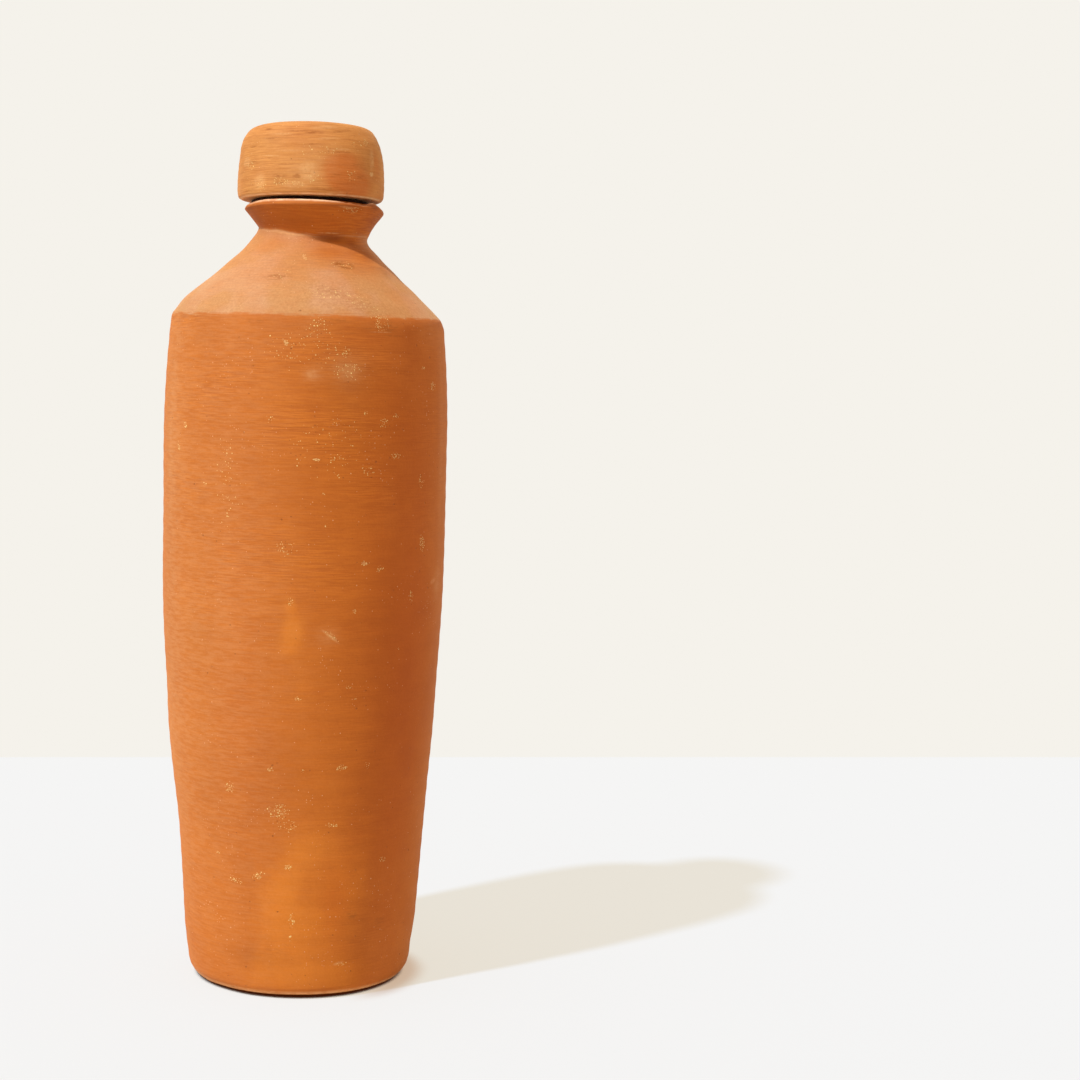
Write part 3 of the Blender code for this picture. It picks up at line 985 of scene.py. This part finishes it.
foot, shoulder, crease, tip, lip = (
    along_at(section, radius, height)
    for radius, _, height in (SIDE[0], SIDE[-1], SLOPE[-1], *COLLAR))
BODY_TONES = ((0.56, 0.140, 0.010), (0.605, 0.160, 0.013), (0.64, 0.182, 0.020))
BODY_FLASH = (0.76, 0.235, 0.020)
WORN_AND_LIT_FOOT = (0.95, 0.48, 0.20)
WORN_AND_LIT_LIP = (1.0, 0.71, 0.48)
bottle.data.materials.append(fired_clay(
    "fired_body_clay", BODY_TONES, BODY_FLASH, 1.0,
    film=(shoulder, crease),
    # Pale edge lines: worn, and also painted highlights at the foot where it turns under, along the
    # crease, at the collar's tip and along the lip.
    edges=(
        (foot + 0.0013, 0.0017, 0.90, WORN_AND_LIT_FOOT),
        (shoulder + 0.0006, 0.0009, 0.08, CHALK_AND_HIGHLIGHT),
        (crease - 0.0003, 0.0006, 0.30, CHALK_AND_HIGHLIGHT),
        (tip, 0.0006, 0.06, CHALK_AND_HIGHLIGHT),
        (lip, 0.0015, 1.0, WORN_AND_LIT_LIP),
    ),
    specks=placed(front_of, SPECKS), smears_and_highlights=placed(front_of, SMEARS_AND_HIGHLIGHTS), stains=placed(front_of, STAINS),
))
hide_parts("bottle")
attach(bottle, "bottle")

# Seal washer. A flat ring cut from black rubber sheet, held by its own stretch round the cap's plug.
# It lies between the rim and the cap, set back from the edge.
WASHER_INSIDE = 12.4
WASHER_OUTSIDE = 20.5
WASHER_LOW = 0.3
WASHER_THICKNESS = 0.7
WASHER_TOP = WASHER_LOW + WASHER_THICKNESS
WASHER_ROUND = 0.15
WASHER_SPACING = 0.8
WASHER_TURNS = 160
RUBBER = (0.024, 0.006, 0.003)
DUSTY_RUBBER = (0.048, 0.016, 0.008)

washer_form = bmesh.new()
ring_points = wire(washer_form, [
    (WASHER_INSIDE, 0, WASHER_LOW),
    (WASHER_OUTSIDE, 0, WASHER_LOW),
    (WASHER_OUTSIDE, 0, WASHER_TOP),
    (WASHER_INSIDE, 0, WASHER_TOP),
])
washer_form.edges.new((ring_points[-1], ring_points[0]))
for corner in ring_points:
    round_corner(washer_form, corner, WASHER_ROUND, 3)
even_out(washer_form, lambda edge: WASHER_SPACING)
turn_round(washer_form, WASHER_TURNS)
neck = Matrix.Translation(RIM_MIDDLE * MM) @ NECK_AXIS.to_track_quat("Z", "Y").to_matrix().to_4x4()
bmesh.ops.transform(washer_form, matrix=neck, verts=washer_form.verts)
washer = finished("rubber_washer", washer_form)


def sheet_rubber(name):
    """Matt black rubber, reddened by clay dust, with a faint grain from the sheet it was cut from."""
    material, tree, shader = blank_material(name)
    where = add(tree, "TexCoord").outputs["Object"]
    grain = cloud(tree, where, 1800, 2.0)
    worn = cloud(tree, where, 140, 3.0)
    colour = blend(tree, level(tree, worn, 0.4, 0.7), RUBBER, DUSTY_RUBBER)
    tree.links.new(colour, shader.inputs["Base Color"])
    tree.links.new(level(tree, worn, 0.35, 0.65, 0.70, 0.90), shader.inputs["Roughness"])
    relief = add(tree, "Bump", {"Height": grain, "Strength": 0.6, "Distance": 0.00008}).outputs[0]
    tree.links.new(relief, shader.inputs["Normal"])
    shader.inputs["Specular IOR Level"].default_value = 0.15
    return material


washer.data.materials.append(sheet_rubber("sheet_rubber"))
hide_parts("seal_washer")
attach(washer, "washer")

# Cap. A squat knob turned from a paler lump of the same clay, with a hollow plug under it that drops
# into the neck. It was trimmed with a tool that dragged streaks round its top.
CAP_SEAT = 1.3           # underside of the knob above the rim
CAP_KNOB = (
    (23.7, 0.14, 0.0),
    (24.95, 0.14, 0.55),
    (25.5, 0.14, 2.0),
    (25.65, 0.14, 6.5),
    (25.42, 0.14, 11.0),
    (25.0, 0.08, 15.0),
    (24.3, -0.22, 18.8),
    (23.0, -0.35, 21.9),
    (20.8, -0.05, 24.5),
    (16.4, 0.0, 25.7),
    (8.2, 0.0, 26.0),
    (0.0, 0.0, 26.1),
)
PLUG_R = 12.1
PLUG_TIP_R = 11.5
PLUG_LENGTH = 14.0
PLUG_ROUND = 1.5
HOLLOW_R = 6.5
HOLLOW_HEIGHT = 12.0
HOLLOW_ROUND = 3.0
KNOB_STEP = 0.55
KNOB_EDGE = (24.3, 0.3)  # radius and height of its lower edge, worn pale and given a painted highlight
SEAT_ROUND = 0.5
CAP_SPACING = 0.9

# Trimming left a shallow spiral. The knob is drawn in a little, so that its ripples stay in its size.
TRIM_HEIGHT = 0.03
TRIM_RISE = 2.9
DRAWN_IN = 0.1

cap_form = bmesh.new()
cap_points = wire(cap_form, [
    (0, 0, HOLLOW_HEIGHT),
    (HOLLOW_R, 0, HOLLOW_HEIGHT),
    (HOLLOW_R, 0, -PLUG_LENGTH),
    (PLUG_TIP_R, 0, -PLUG_LENGTH),
    (PLUG_R, 0, 0),
    *smooth_run(CAP_KNOB, KNOB_STEP),
])
corners = ((4, SEAT_ROUND, 3), (3, PLUG_ROUND, 5), (2, PLUG_ROUND, 5), (1, HOLLOW_ROUND, 5))
for number, reach, segments in corners:
    round_corner(cap_form, cap_points[number], reach, segments)
even_out(cap_form, lambda edge: CAP_SPACING)
cap_middle, cap_section = turn_round(cap_form, TURNS)
cap_form.normal_update()
for point in cap_form.verts:
    x, y, z = point.co / MM
    angle = math.atan2(y, x)
    press = 0.10 * ripple(point.co + Vector((0.3, 0, 0)), 22) + 0.05 * ripple(point.co, 7)
    trim = TRIM_HEIGHT * math.sin(math.tau * (z / TRIM_RISE + angle / math.tau))
    press += trim * (1 if z > 1 else 2)
    point.co += point.normal * (press - DRAWN_IN) * MM
    point.co.x -= point[cap_middle]
    point.co.z += CAP_SEAT * MM
bmesh.ops.transform(cap_form, matrix=neck, verts=cap_form.verts)
cap = finished("turned_cap", cap_form)


def cap_front(across, height):
    """Place on the front of the cap, from its place across and its height above the table in mm."""
    radius, _ = outline_at(CAP_KNOB, height - CAP_SEAT - RIM_MIDDLE.z)
    lift = (height - RIM_MIDDLE.z) * NECK_AXIS
    aside = across - RIM_MIDDLE.x - lift.x
    deep = -math.sqrt(max(radius**2 - aside**2, 0))
    return Vector((across, RIM_MIDDLE.y + lift.y + deep, height)) * MM


CAP_SPECKS = (
    (24.3, 281, 0.9, 0.9, 0, 1),
    (-6.5, 278, 4, 2, 0, 0.45),
    (-1, 277, 3, 1.4, 0, 0.4),
    (3.5, 279, 4, 2, 0, 0.25),
    (19, 291, 5, 3, 0, 0.1),
    (8, 288.5, 12, 3.5, 0, 0.1),
    (-17, 284.5, 3.5, 2, 0, 0.4),
    (22.5, 292, 2, 2, 0, 0.45),
    (-14, 277, 4, 2.5, 0, 0.25),
    (17, 280, 4, 3, 0, 0.15),
)
CAP_SMEARS = (
    (24.3, 281, 0.9, 1.1, 0, 0.8),
    (2.8, 281.5, 4.2, 4.5, 0, 0.55),
    (-2, 277, 6, 1.6, 0, 0.4),
    (24.4, 286, 1.3, 5.5, 3, 0.5),
    (-18.5, 285.5, 3.2, 2.4, 0, 0.4),
    (-14, 278.5, 3.6, 3.6, 0, 0.5),
    (-10, 286.9, 5.5, 0.35, 5, 0.6),
    (-4, 288.4, 8, 0.5, 1, 0.3),
    (14, 288.8, 6.5, 0.5, -3, 0.35),
    (-6, 294.2, 8, 0.5, 2, 0.35),
    (9, 292.5, 8, 0.6, -2, 0.3),
    (8, 296.3, 7, 0.9, -3, 0.35),
    (12, 274.3, 12, 0.5, -2, 0.35),
)
CAP_STAINS = (
    (-15.5, 290.4, 5, 0.41, 2, 0.62),
    (-11.5, 286.2, 5.8, 0.36, 5, 0.55),
    (-16.5, 285.2, 3.8, 0.36, 4, 0.47),
    (-10.3, 296.2, 3.2, 0.54, 0, 0.7),
    (-9.5, 292.8, 8.1, 0.45, 2, 0.47),
    (1.5, 295, 7.5, 0.54, 3, 0.58),
    (4.7, 294.4, 4.2, 0.72, 0, 0.62),
    (10.4, 298.2, 3.2, 0.54, 0, 0.74),
    (5.1, 290.5, 5.6, 0.45, -1, 0.51),
    (14.1, 295.2, 6.2, 0.63, -8, 0.62),
    (18, 293.6, 4, 0.54, -10, 0.55),
    (13.6, 287.9, 8.1, 0.45, -2, 0.47),
    (22.6, 290.3, 1.1, 0.63, 0, 0.66),
    (25.2, 287.9, 2, 0.63, -10, 0.47),
    (-7, 280.1, 3.5, 0.99, 0, 0.58),
    (-1.3, 279.8, 1.9, 1.44, 0, 0.58),
    (-7.7, 277.8, 3.5, 0.72, 0, 0.47),
    (11.9, 280, 3.2, 1.17, 0, 0.35),
    (20.8, 279.8, 4.2, 0.81, 0, 0.39),
    (-18.5, 275.4, 4.5, 0.81, 3, 0.47),
    (9, 275.6, 11.2, 0.54, -2, 0.35),
    (-4, 283.8, 7.5, 0.45, 1, 0.27),
    (19, 284, 5, 0.72, 0, 0.27),
)
# Patches of redder firing on the cap.
CAP_BLUSH = (
    (12.5, 281, 6, 6, 1.15),
    (19.5, 277.5, 6.5, 5.5, 1.1),
    (16, 286, 6, 3, 0.6),
    (26, 284, 4, 8, 0.5),
    (-8, 279.5, 5, 2.5, 0.35),
    (-20.5, 279, 2, 4, 0.35),
)
# Dusty patches on it, with painted light on its middle; then darker patches, painted shade along its
# left and right edges and under its edge at the right, and darker streaks.
CAP_DUSTY_AND_LIT = (
    (1.5, 282, 9, 8, 0.28),
    (-14, 279, 5, 5, 0.2),
    (0, 292, 16, 5, 0.1),
    (0, 298.5, 20, 4, 0.14),
    (-21.5, 275.5, 4, 4, 0.3),
)
CAP_DEEPER_AND_SHADED = (
    (-19, 285, 8, 14, 0.3),
    (-8, 279.5, 3.5, 1.8, 0.22),
    (24.5, 283, 3, 9, 0.1),
    (4, 294.6, 10, 1.2, 0.14),
    (-11, 292.8, 7, 1, 0.14),
    (14, 288, 6, 1.2, 0.12),
    (25.6, 272.1, 9, 0.9, 0.9),
)
CAP_TONES = ((0.65, 0.265, 0.060), (0.72, 0.325, 0.088), (0.77, 0.385, 0.125))
CAP_FLASH = (0.67, 0.172, 0.016)
WORN_AND_LIT_KNOB = (1.0, 0.68, 0.38)

# The cap's dust layer carries painted light on its middle and its deep layer painted shade at its
# edges; its ruddy layer is a random tone.
cap_dusty_and_lit = laid_on(cap_front, CAP_DUSTY_AND_LIT)
cap_deeper_and_shaded = laid_on(cap_front, CAP_DEEPER_AND_SHADED)
paint(cap, "dust", lambda point: 0.10 + 0.10 * ripple(point, 9) + soft_spots(point, cap_dusty_and_lit))
paint(cap, "ruddy_and_shade", lambda point: 0.5 + 0.5 * ripple(point, 14))
paint(cap, "deep", lambda point: 0.12 * max(0, ripple(point, 6)) + soft_spots(point, cap_deeper_and_shaded))
paint_spots(cap, "flash", cap_front, CAP_BLUSH)
cap.data.materials.append(fired_clay(
    "fired_cap_clay", CAP_TONES, CAP_FLASH, 1.45,
    edges=((along_at(cap_section, *KNOB_EDGE), 0.0010, 0.75, WORN_AND_LIT_KNOB),),
    specks=placed(cap_front, CAP_SPECKS), smears_and_highlights=placed(cap_front, CAP_SMEARS),
    stains=placed(cap_front, CAP_STAINS),
))
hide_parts("cap")
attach(cap, "cap")

# Stage. A pale floor that ends under a pale backdrop, a soft sun from the front left, and the light
# of a pale room that is brighter behind the bottle.
FLOOR_END = 0.404
FLOOR_SIDE = 3.0
FLOOR_PAINT = (0.60, 0.585, 0.56, 1)
FLOOR_ROUGHNESS = 0.9

# The floor as it is seen: a matt share that takes the shadow, and a glow. Beside the foot on its
# shaded side it has a painted warm bounce of the clay's light, and under the foot a painted dark
# contact shadow.
FLOOR_SEEN = (0.140, 0.189, 0.300, 1)
FLOOR_GLOW = (0.730, 0.672, 0.567, 1)
FOOT_BOUNCE = (0.50, 0.27, 0.13, 1)
PAINTED_CONTACT_SHADOW = (0.040, 0.007, 0.001, 1)
ROOM = (1.0, 0.85, 0.64, 1)
ROOM_STRENGTH = (0.61, 0.73)    # before the bottle and behind it
ROOM_RIGHT = 0.84               # share of it at the right
BACKDROP = (0.913, 0.887, 0.830, 1)
SUN_FROM = Vector((-0.475, -0.385, 0.791))
SUN_STRENGTH = 2.95
SUN_WIDTH = math.radians(2.4)
SUN_COLOUR = (0.94, 1.0, 0.99)


def seen_by(tree, *kinds):
    """1 for rays of some kinds, and 0 for others."""
    rays = add(tree, "LightPath").outputs
    seen = rays[kinds[0]]
    for kind in kinds[1:]:
        seen = maths(tree, "MAXIMUM", seen, rays[kind])
    return seen


def open_round(tree, distance):
    """How open a place is, up to a distance."""
    return add(tree, "AmbientOcclusion", {"Distance": distance}, samples=16).outputs["AO"]


def glow(tree, colour):
    """Light of a plain colour."""
    return add(tree, "Emission", {"Color": colour, "Strength": 1.0}).outputs[0]


floor_form = bmesh.new()
bmesh.ops.create_grid(floor_form, x_segments=1, y_segments=1, size=FLOOR_SIDE)
bmesh.ops.translate(floor_form, vec=(0, FLOOR_END - FLOOR_SIDE, 0), verts=floor_form.verts)
floor = finished("floor", floor_form)
floor_paint, tree, shader = blank_material("floor_paint")
shader.inputs["Base Color"].default_value = FLOOR_PAINT
shader.inputs["Roughness"].default_value = FLOOR_ROUGHNESS
seen_matt = add(tree, "BsdfDiffuse", {"Color": FLOOR_SEEN}).outputs[0]
seen = add(tree, "AddShader", {0: seen_matt, 1: glow(tree, FLOOR_GLOW)}).outputs[0]
near_foot = open_round(tree, 0.010)
place = add(tree, "TexCoord").outputs["Object"]
shaded_side = level(tree, add(tree, "SeparateXYZ", {"Vector": place}).outputs[0], 0.014, 0.034)
# Painted warm bounce light beside the foot, and a painted dark contact shadow under it.
warmth = times(tree, level(tree, near_foot, 0.98, 0.5, 0.0, 0.6), shaded_side)
seen = add(tree, "MixShader", {0: warmth, 1: seen, 2: glow(tree, FOOT_BOUNCE)}).outputs[0]
open_air = level(tree, open_round(tree, 0.004), 0.14, 0.37)
seen = add(tree, "MixShader", {0: open_air, 1: glow(tree, PAINTED_CONTACT_SHADOW), 2: seen}).outputs[0]
direct = seen_by(tree, "Is Camera Ray", "Is Glossy Ray")
mixed = add(tree, "MixShader", {0: direct, 1: shader.outputs[0], 2: seen}).outputs[0]
tree.links.new(mixed, tree.nodes["Material Output"].inputs["Surface"])
floor.data.materials.append(floor_paint)

world = bpy.data.worlds.new("pale_room")
bpy.context.scene.world = world
world.use_nodes = True
tree = world.node_tree
towards = add(tree, "SeparateXYZ", {"Vector": add(tree, "TexCoord").outputs["Generated"]}).outputs
room_level = level(tree, towards[1], -0.5, 0.8, *ROOM_STRENGTH)
room_level = times(tree, room_level, level(tree, towards[0], -0.3, 0.9, 1.0, ROOM_RIGHT))
room = add(tree, "Background", {"Color": ROOM, "Strength": room_level}).outputs[0]
backdrop = add(tree, "Background", {"Color": BACKDROP, "Strength": 1.0}).outputs[0]
direct = seen_by(tree, "Is Camera Ray", "Is Glossy Ray", "Is Transmission Ray")
mixed = add(tree, "MixShader", {0: direct, 1: room, 2: backdrop}).outputs[0]
tree.links.new(mixed, tree.nodes["World Output"].inputs["Surface"])

sun_light = bpy.data.lights.new("sun", "SUN")
sun_light.energy = SUN_STRENGTH
sun_light.angle = SUN_WIDTH
sun_light.color = SUN_COLOUR
sun = bpy.data.objects.new("sun", sun_light)
sun.rotation_mode = "QUATERNION"
sun.rotation_quaternion = SUN_FROM.to_track_quat("Z", "Y")
bpy.context.scene.collection.objects.link(sun)

# Camera, at the distance, height and tilt that the rings and the outline of the bottle fit. The frame
# is shifted because the bottle stands left of the middle.
CAMERA_LENS = 73.33
CAMERA_SENSOR = 36.0
CAMERA_SHIFT = 0.2218
CAMERA_AWAY = 0.774
CAMERA_HEIGHT = 0.2234
CAMERA_DOWN = 5.1        # degrees

camera_data = bpy.data.cameras.new("camera")
camera_data.lens = CAMERA_LENS
camera_data.sensor_width = CAMERA_SENSOR
camera_data.shift_x = CAMERA_SHIFT
camera = bpy.data.objects.new("camera", camera_data)
camera.location = (0, -CAMERA_AWAY, CAMERA_HEIGHT)
camera.rotation_euler = (math.radians(90 - CAMERA_DOWN), 0, 0)
bpy.context.scene.collection.objects.link(camera)
bpy.context.scene.camera = camera

bpy.context.scene.view_settings.view_transform = "Standard"
